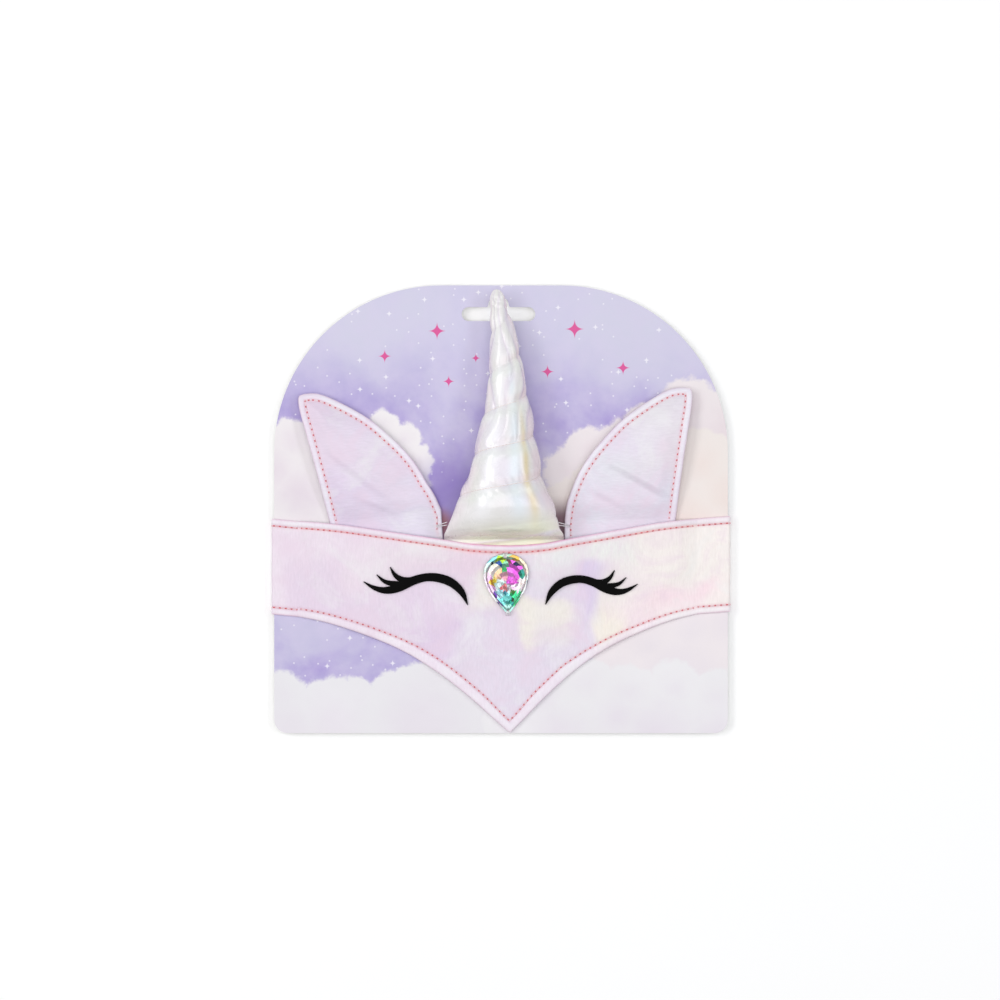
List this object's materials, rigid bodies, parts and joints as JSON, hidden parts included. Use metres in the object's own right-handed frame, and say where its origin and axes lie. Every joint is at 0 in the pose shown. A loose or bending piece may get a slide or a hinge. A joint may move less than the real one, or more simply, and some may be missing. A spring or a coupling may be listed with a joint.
{
  "type": "unicorn horn headband on a display card",
  "caption": "Cloth headband with a pointed front, stuffed horn, two ears, sewn-on stone and closed-eye lashes, wrapped round a flat card with a hanging slot.",
  "frame": {"origin": "on the surface that the part lies on, under the middle of the card", "axes": "+X along the band to the wearer's left, +Y up the card towards its hanging slot, +Z out of the card's face"},
  "size_m": [0.237, 0.231, 0.0358],
  "materials": {
    "card": "coated card, satin, lilac sky fading to white",
    "band_satin": "iridescent pale pink satin",
    "elastic": "flat knitted elastic, matte",
    "ear_satin": "iridescent lilac satin",
    "horn_satin": "pearl white foil satin, glossy",
    "gem": "faceted clear acrylic over a foil back",
    "lash_film": "black heat-set film"
  },
  "bodies": {
    "root": {"card": "card", "front_panel": "band_satin", "strap_left": "band_satin", "strap_right": "band_satin", "back_elastic": "elastic", "ear_left": "ear_satin", "ear_right": "ear_satin", "horn": "horn_satin", "gem": "gem", "lash_left": "lash_film", "lash_right": "lash_film"}
  },
  "joints": []
}
